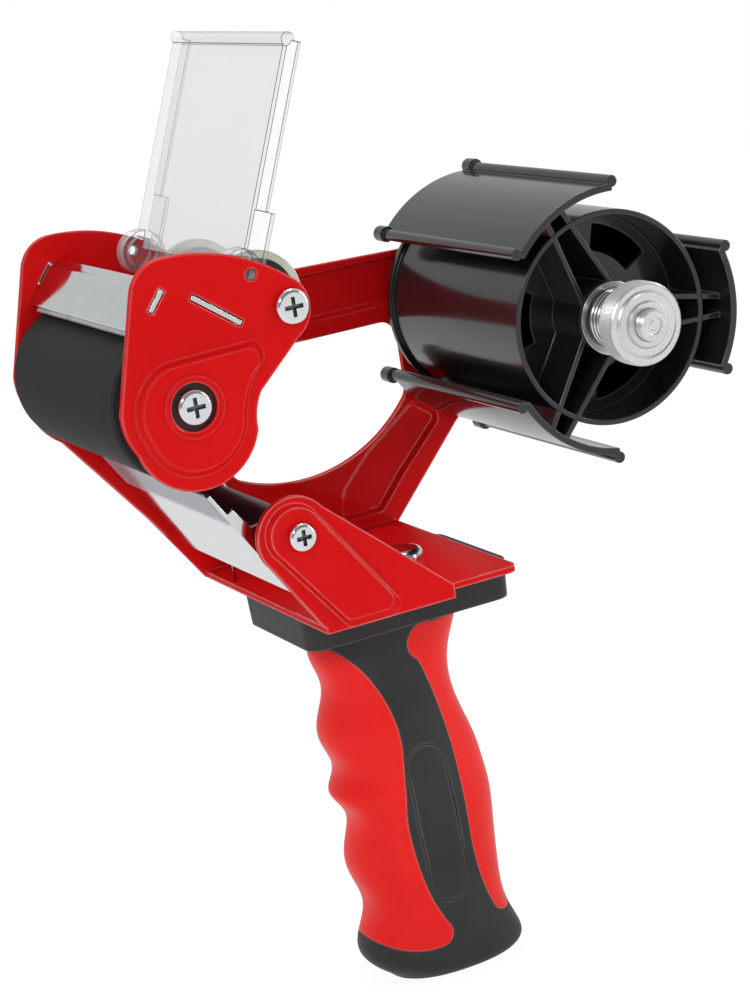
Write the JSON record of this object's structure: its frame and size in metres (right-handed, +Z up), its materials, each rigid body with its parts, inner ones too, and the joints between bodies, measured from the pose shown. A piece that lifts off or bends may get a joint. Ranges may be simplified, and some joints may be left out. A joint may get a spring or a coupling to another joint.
{
  "type": "packing tape dispenser",
  "caption": "Pistol-grip dispenser for wide packing tape: braked roll holder, drive roller, spring wiper and toothed cutting blade under a swinging clear guard.",
  "frame": {"origin": "middle of the handle, on the tool's mid-plane between its side plates", "axes": "+X back from the cutting head to the reel, +Y away from the side the roll is loaded from, +Z up"},
  "size_m": [0.1911, 0.1122, 0.2845],
  "materials": {
    "red_paint": "glossy",
    "zinc_sheet": "bright zinc",
    "blade_steel": "ground",
    "steel": "turned",
    "spring_steel": "bright",
    "zinc_screw": "bright zinc",
    "zinc_ring": "passivated zinc",
    "chrome_bolt": "bright",
    "black_rubber": "matte",
    "black_nylon": "satin",
    "black_gloss": "glossy",
    "grey_plastic": "satin",
    "red_soft": "soft touch",
    "clear_plastic": "clear",
    "clear_film": "clear",
    "turned_aluminium": "turned, knurled"
  },
  "bodies": {
    "frame": {"main_frame": "red_paint", "near_cheek": "red_paint", "blade_holder": "zinc_sheet", "cutting_blade": "blade_steel", "roller_axle": "steel", "roller_bushes": "black_nylon", "roller_screws": "zinc_screw", "idler_axle": "steel", "idler_screws": "zinc_screw", "wiper_axle": "steel", "wiper_sleeves": "zinc_screw", "wiper_screws": "zinc_screw", "wiper_spring": "spring_steel", "reel_bolt": "zinc_screw", "reel_nut": "zinc_screw", "brake_washer": "steel", "brake_spring": "spring_steel", "handle_core": "grey_plastic", "grip_front": "red_soft", "grip_back": "red_soft", "handle_bolts": "chrome_bolt"},
    "guard": {"blade_guard": "clear_plastic"},
    "drive_roller": {"roller_tyre": "black_rubber", "roller_core": "black_nylon"},
    "idler": {"idler_roller": "black_nylon", "idler_rings": "zinc_ring"},
    "wiper": {"wiper_plate": "zinc_sheet", "wiper_film": "clear_film", "wiper_tube": "black_nylon"},
    "reel": {"reel_drum": "black_gloss", "core_pads": "black_gloss"},
    "thrust": {"thrust_washer": "steel"},
    "knob": {"brake_knob": "turned_aluminium"}
  },
  "joints": [
    {"name": "guard_swing", "type": "hinge", "parent": "frame", "child": "guard", "pos_m": [-0.0422, 0, 0.1656], "axis": [0, -1, 0], "range_deg": [0, 95]},
    {"name": "roller_spin", "type": "hinge", "parent": "frame", "child": "drive_roller", "pos_m": [-0.06475, 0, 0.135], "axis": [0, 1, 0], "continuous": true},
    {"name": "idler_spin", "type": "hinge", "parent": "frame", "child": "idler", "pos_m": [-0.0324, 0, 0.155], "axis": [0, 1, 0], "continuous": true},
    {"name": "wiper_swing", "type": "hinge", "parent": "frame", "child": "wiper", "pos_m": [-0.041, 0, 0.0935], "axis": [0, -1, 0], "range_deg": [0, 25], "stiffness_Nm_per_rad": 0.08, "springref_deg": -28.65, "deforming": ["wiper_spring"]},
    {"name": "reel_spin", "type": "hinge", "parent": "frame", "child": "reel", "pos_m": [0.066, 0, 0.13], "axis": [0, 1, 0], "continuous": true},
    {"name": "brake_travel", "type": "slide", "parent": "frame", "child": "thrust", "axis": [0, 1, 0], "range_m": [0, 0.003], "deforming": ["brake_spring"]},
    {"name": "knob_turn", "type": "hinge", "parent": "thrust", "child": "knob", "pos_m": [0.066, 0, 0.13], "axis": [0, 1, 0], "range_deg": [0, 1080]}
  ],
  "couplings": [
    {"joint": "brake_travel", "follows": "knob_turn", "m_per_rad": 0.000159}
  ]
}
